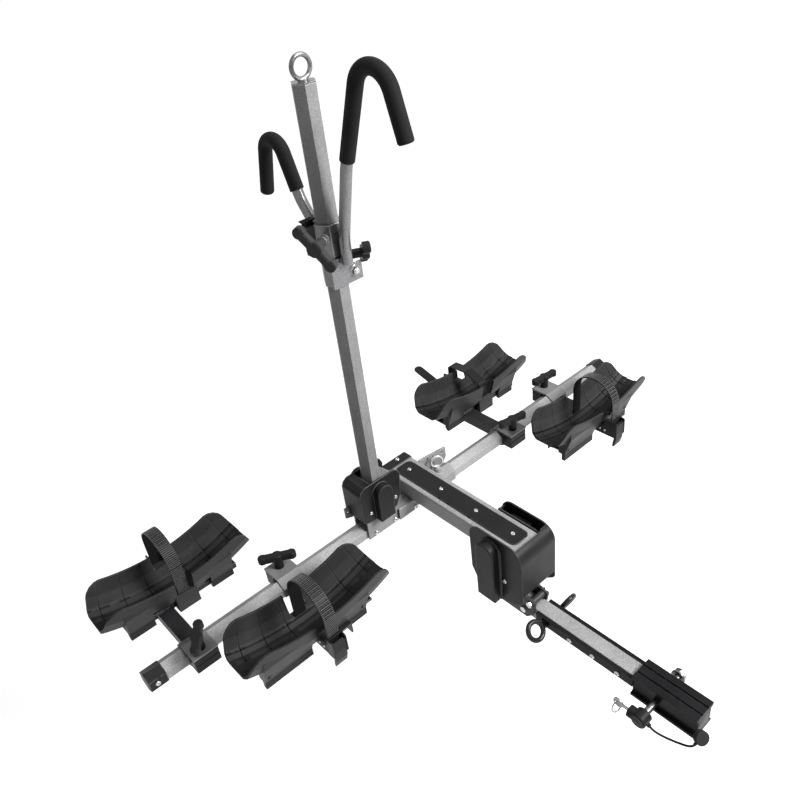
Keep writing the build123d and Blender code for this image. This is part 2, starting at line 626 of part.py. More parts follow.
# spring plunger with its pull ring
with BuildPart() as pull_plunger:
    rod((plunger_x, bar_y, bar_z + 9), (0, 0, 1), 25, plunger_r)
    fillet(pull_plunger.edges().group_by(Axis.Z)[0], 1.5)
    rod((plunger_x, bar_y, bar_z + 30.5), (0, 0, 1), 4, 6)
    with Locations(Plane(origin=(plunger_x, bar_y, bar_z + 46.5), z_dir=(0.4, 1, 0))):
        Torus(13, 2.4)
save(pull_plunger, "pull_plunger")

# mast: hexagonal tube that folds sideways over the beam
with BuildPart() as mast_tube:
    prism_z(mast_hexagon(mast_flats), mast_foot_z, mast_top_z)
    prism_z(mast_hexagon(mast_flats - 2 * mast_wall), mast_foot_z, mast_top_z, Mode.SUBTRACT)
    rod((mast_x, bar_y - 30, mast_pivot_z), (0, 1, 0), 60, pivot_r + pivot_run, Mode.SUBTRACT)
save(mast_tube, "mast_tube")

# lifting eye and plug in the mast's top
with BuildPart() as mast_eye_bolt:
    prism_z(mast_hexagon(mast_flats - 2 * mast_wall - 2 * weld_fit), mast_top_z - 14, mast_top_z)
    prism_z(mast_hexagon(mast_flats), mast_top_z, mast_top_z + 2)
    rod((mast_x, bar_y, mast_top_z), (0, 0, 1), 5, 8)
    with Locations(Plane(origin=(mast_x, bar_y, mast_top_z + 21.5), z_dir=(0, 1, 0))):
        Torus(16.5, 3.6)
save(mast_eye_bolt, "mast_eye_bolt")

# frame hooks: a bracket around the mast with a bent bar, a foam sleeve and a clamping knob
bracket_in = mast_flats + 0.8
bracket_out = 41.4
bar_r = 9.5
sleeve_r = 12.0
sleeve_start = 15.0     # along the straight run after the second bend
sleeve_fit = 0.03
stem_r = 4.0
hook_plate = 3.4        # thickness of the bracket's plate outside the sleeve around the mast
boss_out = 30.5         # end of the knob's boss from the mast's axis
wing_thick = 13.0
wing_long = 88.0
lower_path = [(31, 588), (32.5, 630), (66, 750), (158, 984), (207, 813)]
lower_radii = [120, 150, 39]
upper_path = [(-31, 608), (-32, 639), (-62, 680), (-117, 833), (-161, 676)]
upper_radii = [28, 60, 28]


def hook_line(points, x):
    return [(x, bar_y + y, bar_z + z) for y, z in points]


def hook(name, x, path, radii, heights, side, plates, bolt_at, knob_at, wing_out, wing_way):
    # side +1: bracket plate, bar and bolt on the +Y face; the knob stands on the hexagon's slanting +Y face
    points = hook_line(path, x)
    z0, z1 = heights
    face = side * bracket_out / 2
    plate_face_y = face + side * hook_plate
    normal = Vector(knob_at[0] * root3 / 2, 0.5, 0)
    axis_point = Vector(mast_x, bar_y, bar_z + knob_at[1])
    with BuildPart() as arm:
        prism_z(mast_hexagon(bracket_out), bar_z + z0, bar_z + z1)
        y0, y1 = span(1, face - side, plate_face_y)
        for x0, x1, foot, top in plates:
            block(x0, x1, y0, y1, bar_z + foot, bar_z + top)
        rod(axis_point, normal, boss_out, 8)
        with BuildLine() as line:
            FilletPolyline(*points, radius=radii)
        direction = Vector(*points[1]) - Vector(*points[0])
        with BuildSketch(Plane(origin=points[0], z_dir=direction)) as round_bar:
            Circle(bar_r)
        sweep(round_bar.sketch, path=line.line)
        prism_z(mast_hexagon(bracket_in), bar_z + z0 - 5, bar_z + z1 + 5, Mode.SUBTRACT)
        rod(axis_point + normal * (bracket_in / 2 - 1), normal, 30, stem_r + pivot_run, Mode.SUBTRACT)
        bolt = Vector(bolt_at[0], bar_y + plate_face_y, bar_z + bolt_at[1])
        rod(bolt, (0, side, 0), 1.5, 9.5)
        hex_rod(bolt, (0, side, 0), 6.5, 14)
    save(arm, f"{name}_hook_arm")
    # foam sleeve over the bar's end, closed at the tip
    bend = Vector(0, *path[2])
    way = (Vector(0, *path[3]) - bend).normalized()
    start = (bend.Y + way.Y * sleeve_start, bend.Z + way.Z * sleeve_start)
    cover = [start, path[3], path[4]]
    tip = Vector(0, path[4][0] - path[3][0], path[4][1] - path[3][1]).normalized()
    cover[2] = (path[4][0] + tip.Y * 5, path[4][1] + tip.Z * 5)
    tube = hook_line(cover, x)
    with BuildPart() as sleeve:
        with BuildLine() as line:
            FilletPolyline(*tube, radius=radii[2])
        direction = Vector(*tube[1]) - Vector(*tube[0])
        with BuildSketch(Plane(origin=tube[0], z_dir=direction)) as ring:
            Circle(sleeve_r)
        sweep(ring.sketch, path=line.line)
        fillet(sleeve.edges().filter_by(GeomType.CIRCLE).filter_by(lambda e: e.radius > 11.9).sort_by_distance(
            Vector(*tube[2]))[0], 4)
        bore_points = hook_line([start, path[3], path[4]], x)
        with BuildLine() as bore_line:
            FilletPolyline(*bore_points, radius=radii[2])
        with BuildSketch(Plane(origin=tube[0], z_dir=direction)) as bore:
            Circle(bar_r + sleeve_fit)
        sweep(bore.sketch, path=bore_line.line, mode=Mode.SUBTRACT)
    save(sleeve, f"{name}_hook_sleeve")

    # knob with a stem into the boss and a lobed wing whose outer edge steps in to a round
    wing_in = wing_out - wing_thick
    with BuildPart() as knob:
        for start, depth, inset in ((0, wing_thick - 2, 0), (wing_thick - 2, 1.2, 0.8), (wing_thick - 0.8, 0.8, 2.2)):
            base = axis_point + normal * (wing_in + start)
            with BuildSketch(Plane(origin=base, x_dir=wing_way, z_dir=normal)) as wing:
                SlotOverall(wing_long - 2 * inset, 15 - 2 * inset)
                with Locations((9 - wing_long / 2, 0), (wing_long / 2 - 9, 0)):
                    Circle(10 - inset)
                Circle(13 - inset)
            extrude(wing.sketch, amount=depth)
        rod(axis_point + normal * (bracket_in / 2 + 0.2), normal, wing_in - bracket_in / 2, stem_r)
        rod(axis_point + normal * (boss_out + 0.4), normal, wing_in - boss_out, 8)
    save(knob, f"{name}_hook_knob")


lower_plates = ((70, 131, 547.6, 578), (88, 131, 578, 597.2))
upper_plates = ((86, 141, 601, 655),)
hook("lower", 103.0, lower_path, lower_radii, (547.6, 597.2), 1, lower_plates, (85.4, 566), (-1, 591),
     60.0, (0.4145, 0.718, 0.559))
hook("upper", 110.0, upper_path, upper_radii, (601, 655), -1, upper_plates, (94, 640), (1, 632.8),
     65.8, (-0.318, 0.551, -0.772))

# wheel trays, drawn once in their own frame: the clamp's centre is on the crossbar at X = 0,
# the tray reaches out along +Y and is longer towards +X
arm_half = 15.0
arm_top = bar_z + 8
knob_y = -27.0
clamp_flats = bar_flats + 2 * bar_fit


def near_bar(points):
    return [(y, bar_z + z) for y, z in points]


def around_axis(angle):
    # direction from the wheel axis to the cradle's floor at an angle from straight down
    return Vector(sin(radians(angle)), 0, -cos(radians(angle)))


def cradle_ring(points, angle0, sweep_angle, mode=Mode.ADD):
    # turns a profile of (sideways, radius) points about the wheel axis
    origin = (tray_mid_x, tray_mid_y, wheel_axis_z)
    down = around_axis(angle0)
    across = Vector(0, 1, 0)
    plane = Plane(origin=origin, x_dir=across, z_dir=across.cross(-down))
    with BuildSketch(plane) as face:
        with BuildLine():
            Polyline(*[(a, -r) for a, r in points], close=True)
        make_face()
    revolve(face.sketch, axis=Axis(origin, (0, -1, 0)), revolution_arc=sweep_angle, mode=mode)


def mirror_points(points):
    return points + [(-a, r) for a, r in reversed(points) if a > 0]


def strap_run(points, radii, groove_angles):
    # flat strap bent in the plane across the tray, with cross grooves on the outside of the arch
    with BuildPart() as strap:
        run = [(strap_x, y, z) for y, z in points]
        with BuildLine() as line:
            FilletPolyline(*run, radius=radii)
        start_way = Vector(*run[1]) - Vector(*run[0])
        with BuildSketch(Plane(origin=run[0], x_dir=(1, 0, 0), z_dir=start_way)) as band:
            Rectangle(strap_wide, strap_thick)
        sweep(band.sketch, path=line.line)
        for centre, radius, angle in groove_angles:
            spot = Vector(strap_x, centre[0], centre[1]) + Vector(0, cos(radians(angle)), sin(radians(angle))) * radius
            up = Vector(0, cos(radians(angle)), sin(radians(angle)))
            with BuildSketch(Plane(origin=spot, x_dir=(1, 0, 0), z_dir=up)) as groove:
                Rectangle(strap_wide - 6, 2.2)
            extrude(groove.sketch, amount=3, mode=Mode.SUBTRACT)
    return strap


# clamp plate, arm and rail welded into one
with BuildPart() as tray_arm:
    plate = near_bar([(-45, 19.6), (-45, 22.9), (0, 23.0), (20, 11.5), (20, -9), (17.1, -9), (17.1, 9.7), (0, 19.6)])
    prism_x(plate, -25, 25)
    block(-arm_half, arm_half, 19, 174, bar_z - 14, arm_top)
    block(-arm_half + 3, arm_half - 3, 20, 175, bar_z - 20, arm_top - 3, Mode.SUBTRACT)
    block(-76, 158, 113, 159, arm_top, bar_z + 12)
    block(-76, -16, 113, 116, bar_z, bar_z + 9)
    block(16, 158, 113, 116, bar_z, bar_z + 9)
    rod((0, knob_y, bar_z + 15), (0, 0, 1), 12, stem_r + pivot_run, Mode.SUBTRACT)

# clamp jaw below the bar with its nut
with BuildPart() as tray_jaw:
    jaw = near_bar([(-44, 19.6), (-17.1, 19.6), (-17.1, -9.9), (0, -19.8), (3, -18.2), (4, -21.5), (0, -24.5),
                    (-22, -12.5), (-44, -12.5)])
    prism_x(jaw, -24, 24)
    block(-26, 26, -46, -43, bar_z + 3.5, bar_z + 5.5, Mode.SUBTRACT)
    rod((0, knob_y, bar_z - 20), (0, 0, 1), 50, stem_r + pivot_run, Mode.SUBTRACT)
    hex_rod((0, knob_y, bar_z - 12.5), (0, 0, -1), 7, 13)
    rod((0, knob_y, bar_z - 20), (0, 0, 1), 9, stem_r + pivot_run, Mode.SUBTRACT)

buckle_in = strap_out_y - 2.5

# wheel cradle: stepped curved trough on sloping skirts, strap anchor and buckle bracket
trough_out = mirror_points([(0, 406), (22, 406), (36, 396), (46, 374), (53, 345)])
trough_in = mirror_points([(0, 403.4), (9, 403.4), (10.5, 401.4), (20.5, 401.4), (28.5, 395.6), (30.5, 392.2),
                           (33.5, 390.5), (42.3, 372), (50, 340)])
panel_line = mirror_points([(0, 404.2), (20.9, 404.2), (34.2, 392.6), (43.1, 372.3), (50.8, 340)])
panel_angles = (-20, -13, -6, 5, 12, 19)
end_plan = [(27, 34), (23, 41), (14, 49), (0, 54)]      # beyond the straight rim, half width
plan_rear = -90
plan_front = 170
plan = [(plan_front + x, y) for x, y in end_plan] + [(plan_rear - x, y) for x, y in reversed(end_plan)]
plan = plan + [(x, -y) for x, y in reversed(plan)]
plan = [(x, tray_mid_y + y) for x, y in plan]
skirt = [(14, -4), (31, -4), (31, 12), (48, 60), (48, 75), (14, 75)]
outer_skirts = ((-55, 15), (68, 167))
inner_skirts = ((-76, -25), (98, 146))
with BuildPart() as tray_cradle:
    cradle_ring(trough_out, -cradle_half_angle, 2 * cradle_half_angle)
    prism_z(plan, bar_z, bar_z + 120, Mode.INTERSECT)
    for x0, x1 in outer_skirts:
        prism_x(near_bar([(tray_mid_y + y, z) for y, z in skirt]), x0, x1)
    for x0, x1 in inner_skirts:
        prism_x(near_bar([(tray_mid_y - y, z) for y, z in skirt]), x0, x1)
    block(21, 66, 95, 125, bar_z - 2, bar_z + 40)
    block(29, 57, 150, buckle_in, bar_z + 17, bar_z + 40)
    cradle_ring(trough_in, -cradle_half_angle - 2, 2 * cradle_half_angle + 4, Mode.SUBTRACT)
    # shallow lines that divide the trough into panels
    for angle in panel_angles:
        cradle_ring(panel_line, angle, 0.2, Mode.SUBTRACT)
    # notches beside the strap, strap slot, channel for the rail and arm
    block(25, 61, 75, 112, bar_z + 36, bar_z + 110, Mode.SUBTRACT)
    block(25, 61, 160, 200, bar_z + 46, bar_z + 110, Mode.SUBTRACT)
    block(strap_x - strap_wide / 2, strap_x + strap_wide / 2, strap_in_y - strap_thick / 2,
          strap_in_y + strap_thick / 2, bar_z + 2, bar_z + 60, Mode.SUBTRACT)
    block(-80, 170, 113, 159, bar_z - 6, bar_z + 12, Mode.SUBTRACT)
    block(-arm_half - 1, arm_half + 1, 90, 180, bar_z - 20, bar_z + 8.5, Mode.SUBTRACT)

# strap buckle: plate with two cheeks
hinge_y = strap_out_y + 10.5
hinge_z = bar_z + 46
buckle_x0 = strap_x - strap_wide / 2 - 3
buckle_x1 = strap_x + strap_wide / 2 + 3
buckle_out = strap_out_y + 16
buckle_plate = strap_out_y + strap_thick / 2
buckle_foot = bar_z + 18
buckle_top = bar_z + 58
buckle_round = 4.0
cheek = 2.6
hinge_r = 2.5
with BuildPart() as tray_buckle:
    block(buckle_x0, buckle_x1, buckle_plate, buckle_plate + 3, buckle_foot, buckle_top)
    block(buckle_x0, buckle_x0 + cheek, buckle_in, buckle_out, buckle_foot, buckle_top)
    block(buckle_x1 - cheek, buckle_x1, buckle_in, buckle_out, buckle_foot, buckle_top)
    fillet(tray_buckle.edges().filter_by(Axis.X).group_by(Axis.Y)[-1], buckle_round)
    rod((buckle_x0 - 1, hinge_y, hinge_z), (1, 0, 0), 40, hinge_r + pivot_run, Mode.SUBTRACT)

# lever between the cheeks
lever_x0 = buckle_x0 + cheek + 0.4
lever_x1 = buckle_x1 - cheek - 0.4
with BuildPart() as tray_lever:
    paddle = near_bar([(212.5, 48), (214, 51), (217, 51.8), (221, 50), (221.5, 30), (219, 8), (214, -8),
                       (210.5, -9), (211, 2), (214, 16), (213.5, 30), (211, 40)])
    prism_x(paddle, lever_x0, lever_x1)
    rod((buckle_x0, hinge_y, hinge_z), (1, 0, 0), buckle_x1 - buckle_x0, hinge_r)

arch_centre = (strap_out_y + strap_in_y) / 2
arch_r = (strap_out_y - strap_in_y) / 2 - 0.1
arch_z = bar_z + 96
arch = [(strap_in_y, bar_z + 2), (strap_in_y, arch_z + arch_r + 0.1), (strap_out_y, arch_z + arch_r + 0.1),
        (strap_out_y, bar_z + 19)]
teeth = [((arch_centre, arch_z), arch_r + 0.4, 8 + 8 * i) for i in range(15)]
arched_strap = strap_run(arch, arch_r, teeth)
# the loose strap crosses the trough low, drops behind the buckle and its tail points outwards
loose_tail_y = 343.0
loose_points = [(strap_in_y, bar_z + 2), (strap_in_y, bar_z + 72), (150, bar_z + 88), (strap_out_y, bar_z + 84),
                (strap_out_y, bar_z - 18), (loose_tail_y, bar_z + 20)]
loose_strap = strap_run(loose_points, 8, [])
with loose_strap:
    tail = loose_strap.edges().filter_by(lambda e: e.length < strap_thick + 0.1 and e.center().Y > loose_tail_y - 2)
    fillet(tail, strap_wide / 2 - 1)


def tray_knob(angle):
    # bolt with a lobed wing, the wing turned by an angle about the bolt
    with BuildPart() as knob:
        rod((0, knob_y, bar_z - 21), (0, 0, 1), 50, stem_r)
        rod((0, knob_y, bar_z + 23.3), (0, 0, 1), 21, 9)
        wing_plane = Plane(origin=(0, knob_y, bar_z + 43), x_dir=(cos(radians(angle)), sin(radians(angle)), 0),
                           z_dir=(0, 0, 1))
        with BuildSketch(wing_plane) as wing:
            SlotOverall(73, 15)
            with Locations((-28, 0), (28, 0)):
                Circle(9)
            Circle(11)
        extrude(wing.sketch, amount=13)
        fillet(knob.edges().group_by(Axis.Z)[-1], 3)
    return knob


trays = (
    ("left_rear", tray_left_rear, 180, 55, arched_strap),
    ("left_front", tray_left_front, 0, 149, arched_strap),
    ("right_rear", tray_right_rear, 180, 169, loose_strap),
    ("right_front", tray_right_front, 0, 173, arched_strap),
)
for name, x, turn, wing_angle, strap in trays:
    place = Location((x, bar_y, 0), (0, 0, turn))
    save(tray_arm, f"{name}_arm", place)
    save(tray_jaw, f"{name}_jaw", place)
    save(tray_knob(wing_angle), f"{name}_knob", place)
    save(tray_cradle, f"{name}_cradle", place)
    save(strap, f"{name}_strap", place)
    save(tray_buckle, f"{name}_buckle", place)
    save(tray_lever, f"{name}_lever", place)
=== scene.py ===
from math import cos, pi, radians, sin

import bmesh
import bpy
from mathutils import Euler, Matrix, Vector


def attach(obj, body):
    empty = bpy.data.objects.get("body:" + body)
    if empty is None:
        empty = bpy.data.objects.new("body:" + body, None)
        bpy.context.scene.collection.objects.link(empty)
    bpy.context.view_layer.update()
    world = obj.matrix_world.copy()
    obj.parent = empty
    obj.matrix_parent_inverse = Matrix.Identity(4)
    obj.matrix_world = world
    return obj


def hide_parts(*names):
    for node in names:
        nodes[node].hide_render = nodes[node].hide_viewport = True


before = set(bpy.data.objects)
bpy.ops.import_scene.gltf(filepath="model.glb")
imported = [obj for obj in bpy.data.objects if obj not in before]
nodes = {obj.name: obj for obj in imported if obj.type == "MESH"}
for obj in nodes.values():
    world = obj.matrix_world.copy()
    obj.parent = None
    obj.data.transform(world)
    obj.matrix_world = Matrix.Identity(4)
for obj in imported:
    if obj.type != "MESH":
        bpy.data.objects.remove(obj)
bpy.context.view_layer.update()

scene = bpy.context.scene

# Studio: a pale floor well below the rack, which hangs from its receiver sleeve alone, and a white surround.
# The camera and the glossy metal see the surround at full strength, and it adds little to the light.
floor_place = (0, -0.3, -0.42)
floor_half = 9
dim_strength = 0.05
fade_from = 1.0
fade_to = 6.0
near_glow = 0.78
paper_grey = 0.72


def add_node(tree, kind, inputs=None, **options):
    # a new node with its options set, and its inputs given as values or as links
    node = tree.nodes.new(kind)
    for option, value in options.items():
        setattr(node, option, value)
    for key, value in (inputs or {}).items():
        if isinstance(value, bpy.types.NodeSocket):
            tree.links.new(value, node.inputs[key])
        else:
            node.inputs[key].default_value = value
    return node


def math_node(tree, operation, *values, clamp=False):
    node = add_node(tree, "ShaderNodeMath", dict(enumerate(values)), operation=operation, use_clamp=clamp)
    return node.outputs[0]


def surround_factor(tree):
    # 1 for what the camera and glossy or clear surfaces see, 0 for the rays that carry light
    path = add_node(tree, "ShaderNodeLightPath")
    seen = math_node(tree, "ADD", path.outputs["Is Camera Ray"], path.outputs["Is Glossy Ray"])
    return math_node(tree, "ADD", seen, path.outputs["Is Transmission Ray"], clamp=True)


white = (1, 1, 1, 1)
studio = bpy.data.worlds.new("studio")
studio.use_nodes = True
scene.world = studio
air = studio.node_tree
air.nodes.clear()
dim_air = add_node(air, "ShaderNodeBackground", {"Color": white, "Strength": dim_strength})
white_air = add_node(air, "ShaderNodeBackground", {"Color": white, "Strength": 1.0})
mixed_air = add_node(air, "ShaderNodeMixShader",
                     {"Fac": surround_factor(air), 1: dim_air.outputs[0], 2: white_air.outputs[0]})
add_node(air, "ShaderNodeOutputWorld", {"Surface": mixed_air.outputs[0]})

floor_mesh = bmesh.new()
bmesh.ops.create_grid(floor_mesh, x_segments=1, y_segments=1, size=floor_half,
                      matrix=Matrix.Translation(floor_place))
floor_data = bpy.data.meshes.new("studio_floor")
floor_mesh.to_mesh(floor_data)
floor_mesh.free()
floor = bpy.data.objects.new("studio_floor", floor_data)
scene.collection.objects.link(floor)

# the floor's paper glows to the camera, more so far away, so that it runs into the surround without a line
paper = bpy.data.materials.new("studio_paper")
paper.use_nodes = True
sheet = paper.node_tree
sheet.nodes.clear()
matte = add_node(sheet, "ShaderNodeBsdfDiffuse", {"Color": (paper_grey, paper_grey, paper_grey, 1)})
ground = add_node(sheet, "ShaderNodeTexCoord")
reach = add_node(sheet, "ShaderNodeVectorMath", {0: ground.outputs["Object"]}, operation="LENGTH")
fade = add_node(sheet, "ShaderNodeMapRange",
                {"Value": reach.outputs["Value"], "From Min": fade_from, "From Max": fade_to,
                 "To Min": near_glow, "To Max": 1.0})
glow = add_node(sheet, "ShaderNodeEmission", {"Color": white, "Strength": fade.outputs["Result"]})
both = add_node(sheet, "ShaderNodeAddShader", {0: matte.outputs[0], 1: glow.outputs[0]})
lit = add_node(sheet, "ShaderNodeMixShader",
               {"Fac": surround_factor(sheet), 1: matte.outputs[0], 2: both.outputs[0]})
add_node(sheet, "ShaderNodeOutputMaterial", {"Surface": lit.outputs[0]})
floor_data.materials.append(paper)

# Camera at the photograph's angle, and three broad soft lamps: one overhead, a strong one from the vehicle's
# side and a weak one beside the mast.
eye = bpy.data.cameras.new("photo_camera")
eye.sensor_width = 36
eye.lens = 35.72
camera = bpy.data.objects.new("photo_camera", eye)
camera.location = (0.792778, 0.403281, 1.225994)
camera.rotation_euler = Euler((radians(55.3212), radians(6.2859), radians(137.9093)))
scene.collection.objects.link(camera)
scene.camera = camera
scene.view_settings.view_transform = "Standard"


def soft_lamp(name, place, target, size, power):
    data = bpy.data.lights.new(name, "AREA")
    data.shape = "DISK"
    data.size = size
    data.energy = power
    lamp = bpy.data.objects.new(name, data)
    lamp.location = place
    lamp.rotation_euler = (Vector(target) - Vector(place)).to_track_quat("-Z", "Y").to_euler()
    scene.collection.objects.link(lamp)


soft_lamp("overhead", place=(-0.4, -0.1, 2.6), target=(0, -0.4, 0.1), size=1.4, power=18)
soft_lamp("vehicle_side", place=(-1.0, 1.6, 2.1), target=(0, -0.4, 0.2), size=1.2, power=126)
soft_lamp("mast_side", place=(2.6, -0.6, 1.0), target=(0, -0.4, 0.2), size=1.6, power=1.5)

# Stinger: 31 mm square steel tube, powder coated in a light silver with a fine metallic fleck, and closed by
# a grey plastic plug at the vehicle's end. Its finish also covers the crossbar and the beam.


def new_group(name, inputs, outputs):
    # a shared effect with its inputs (name, kind, value) and outputs (name, kind)
    group = bpy.data.node_groups.new(name, "ShaderNodeTree")
    for label, kind, value in inputs:
        socket = group.interface.new_socket(label, in_out="INPUT", socket_type=kind)
        if value is not None:
            socket.default_value = value
    for label, kind in outputs:
        group.interface.new_socket(label, in_out="OUTPUT", socket_type=kind)
    return group, add_node(group, "NodeGroupInput"), add_node(group, "NodeGroupOutput")


# fleck and mottle of a sprayed or moulded surface. The noise keeps near its middle, so the span between these
# two levels is stretched to the whole
noise_low = 0.32
noise_high = 0.68
grain_group, given, result = new_group(
    "surface_grain",
    [("Vector", "NodeSocketVector", None), ("Scale", "NodeSocketFloat", 900.0),
     ("Mottle", "NodeSocketFloat", 14.0)],
    [("Fleck", "NodeSocketFloat"), ("Mottle", "NodeSocketFloat")])
for outlet, scale_input, detail, rough_step in (("Fleck", "Scale", 2.0, 0.6), ("Mottle", "Mottle", 4.0, 0.5)):
    noise = add_node(grain_group, "ShaderNodeTexNoise",
                     {"Vector": given.outputs["Vector"], "Scale": given.outputs[scale_input],
                      "Detail": detail, "Roughness": rough_step})
    stretch = add_node(grain_group, "ShaderNodeMapRange",
                       {"Value": noise.outputs["Fac"], "From Min": noise_low, "From Max": noise_high})
    grain_group.links.new(stretch.outputs["Result"], result.inputs[outlet])

# rounded look of the edges, with a mask for the edge colour: rubbed paint or plastic, and, where that colour
# is lighter than the body, a painted highlight along the edges
edge_group, given, result = new_group(
    "rubbed_and_highlit_edges",
    [("Radius", "NodeSocketFloat", 0.001), ("Patches", "NodeSocketFloat", 0.5)],
    [("Normal", "NodeSocketVector"), ("Mask", "NodeSocketFloat")])
edge_gain = 3.0
round_off = add_node(edge_group, "ShaderNodeBevel", {"Radius": given.outputs["Radius"]}, samples=4)
flat = add_node(edge_group, "ShaderNodeNewGeometry")
agree = add_node(edge_group, "ShaderNodeVectorMath",
                 {0: round_off.outputs["Normal"], 1: flat.outputs["Normal"]}, operation="DOT_PRODUCT")
turned = math_node(edge_group, "SUBTRACT", 1.0, agree.outputs["Value"], clamp=True)
rubbed_and_highlit = math_node(edge_group, "MULTIPLY", turned, edge_gain, clamp=True)
where = add_node(edge_group, "ShaderNodeTexCoord")
patch_noise = add_node(edge_group, "ShaderNodeTexNoise",
                 {"Vector": where.outputs["Object"], "Scale": 60.0, "Detail": 5.0})
patchy = math_node(edge_group, "GREATER_THAN", patch_noise.outputs["Fac"], given.outputs["Patches"])
# the mask lays on the edge colour, which is partly rubbed wear and, where lighter, a painted highlight
edge_group.links.new(round_off.outputs["Normal"], result.inputs["Normal"])
edge_group.links.new(math_node(edge_group, "MULTIPLY", rubbed_and_highlit, patchy), result.inputs["Mask"])


def mix_colour(tree, factor, a, b):
    # sockets 6 and 7 are the node's two colours, and output 2 their mixture
    a, b = ((*colour, 1) if isinstance(colour, tuple) else colour for colour in (a, b))
    return add_node(tree, "ShaderNodeMix", {"Factor": factor, 6: a, 7: b}, data_type="RGBA").outputs[2]


def finish(name, colour, metallic, rough, fleck=0.1, scale=900.0, mottle=0.06, bump=0.02,
           edge=(0.5, 0.5, 0.5), edge_amount=0.3, radius=0.0009, coat=0.0, specular=0.12, patches=0.5):
    # one surface: body colour, fleck, mottle, softened edges whose colour is rubbed wear and, where lighter,
    # a painted highlight, uneven gloss. The bump is in mm
    gloss_swing = 0.18
    made = bpy.data.materials.new(name)
    made.use_nodes = True
    tree = made.node_tree
    shader = tree.nodes["Principled BSDF"]
    shader.inputs["Metallic"].default_value = metallic
    shader.inputs["Specular IOR Level"].default_value = specular
    shader.inputs["Coat Weight"].default_value = coat
    shader.inputs["Coat Roughness"].default_value = 0.25
    place = add_node(tree, "ShaderNodeTexCoord")
    grain = add_node(tree, "ShaderNodeGroup", {"Vector": place.outputs["Object"], "Scale": scale},
                     node_tree=grain_group)
    edges = add_node(tree, "ShaderNodeGroup", {"Radius": radius, "Patches": patches}, node_tree=edge_group)
    spots = math_node(tree, "MULTIPLY_ADD", grain.outputs["Fleck"], 2 * fleck, 1 - fleck)
    clouds = math_node(tree, "MULTIPLY_ADD", grain.outputs["Mottle"], 2 * mottle, 1 - mottle)
    tinted = add_node(tree, "ShaderNodeVectorMath",
                      {0: colour, "Scale": math_node(tree, "MULTIPLY", spots, clouds)}, operation="SCALE")
    # painted highlight along the edges, together with rubbed wear: the edge colour laid over the edge mask
    rub_and_highlight = math_node(tree, "MULTIPLY", edges.outputs["Mask"], edge_amount)
    tree.links.new(mix_colour(tree, rub_and_highlight, tinted.outputs[0], edge), shader.inputs["Base Color"])
    gloss = math_node(tree, "MULTIPLY_ADD", grain.outputs["Mottle"], gloss_swing, rough - gloss_swing / 2)
    tree.links.new(gloss, shader.inputs["Roughness"])
    relief = add_node(tree, "ShaderNodeBump",
                      {"Strength": 0.5, "Distance": bump / 1000, "Height": grain.outputs["Fleck"],
                       "Normal": edges.outputs["Normal"]})
    tree.links.new(relief.outputs["Normal"], shader.inputs["Normal"])
    return made


def coat_nodes(material, *names):
    # gives CAD nodes their material, which is all that changes on them
    for name in names:
        skin = nodes[name].data.materials
        skin.clear()
        skin.append(material)


silver_coat = finish("silver_powder_coat", (0.35, 0.35, 0.355), 0.12, 0.4, fleck=0.36, scale=600, mottle=0.12,
                     bump=0.04, edge=(0.85, 0.85, 0.85), edge_amount=0.7, radius=0.0015, specular=0.15,
                     patches=0.42)
coat_nodes(silver_coat, "stinger_tube", "crossbar", "beam_tube")
weld_gap = 1e-6


def piece(name, mesh, material, body, smooth=35):
    # a finished mesh becomes one piece of the rack on its body, smooth up to that angle in degrees
    bmesh.ops.remove_doubles(mesh, verts=mesh.verts, dist=weld_gap)
    bmesh.ops.recalc_face_normals(mesh, faces=mesh.faces)
    data = bpy.data.meshes.new(name)
    mesh.to_mesh(data)
    mesh.free()
    made = bpy.data.objects.new(name, data)
    scene.collection.objects.link(made)
    data.materials.append(material)
    for polygon in data.polygons:
        polygon.use_smooth = True
    data.set_sharp_from_angle(angle=radians(smooth))
    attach(made, body)
    return made


def block(mesh, centre, size):
    bmesh.ops.create_cube(mesh, size=1, matrix=Matrix.Translation(centre) @ Matrix.Diagonal((*size, 1)))


def soften(mesh, width, segments):
    bmesh.ops.bevel(mesh, geom=list(mesh.edges), offset=width, segments=segments, affect="EDGES", profile=0.5,
                    material=-1)


plug_side = 0.03
plug_deep = 0.0016
plug_y = 0.0752
plug_mesh = bmesh.new()
block(plug_mesh, (0, plug_y, 0), (plug_side, plug_deep, plug_side))
soften(plug_mesh, width=0.0006, segments=3)
plug_grey = finish("plug_grey_plastic", (0.05, 0.05, 0.05), 0.0, 0.5, edge_amount=0.1)
piece("stinger_plug", plug_mesh, plug_grey, "receiver_frame")

# Side rails and receiver sleeve: black anodised extrusions held by button screws. The sleeve is the part that
# slides into the vehicle.
black_anodised = finish("black_anodised", (0.011, 0.011, 0.012), 0.0, 0.4, fleck=0.15, scale=700, mottle=0.2,
                        bump=0.02, edge=(0.2, 0.2, 0.2), edge_amount=0.6, specular=0.07)
coat_nodes(black_anodised, "side_rails", "receiver_sleeve")

# Screws, pivot bolts and pull plunger: bright zinc plated steel. The hitch pin, the lock's key and the mast's
# eye bolt are duller, in a mottled nickel plate.
zinc_plate = finish("zinc_plate", (0.5, 0.5, 0.49), 0.9, 0.25, fleck=0.06, scale=500, mottle=0.12, bump=0.01,
                    edge=(0.8, 0.8, 0.8), edge_amount=0.2, radius=0.0005)
coat_nodes(zinc_plate, "rail_screws", "platform_screws", "pivot_bolts", "mast_pivot_bolt", "pull_plunger")
nickel_plate = finish("nickel_plate", (0.2, 0.2, 0.2), 0.85, 0.3, fleck=0.3, scale=220, mottle=0.5, bump=0.03,
                      edge=(0.6, 0.6, 0.6), edge_amount=0.4, radius=0.0007)
coat_nodes(nickel_plate, "hitch_pin", "lock_key", "mast_eye_bolt")

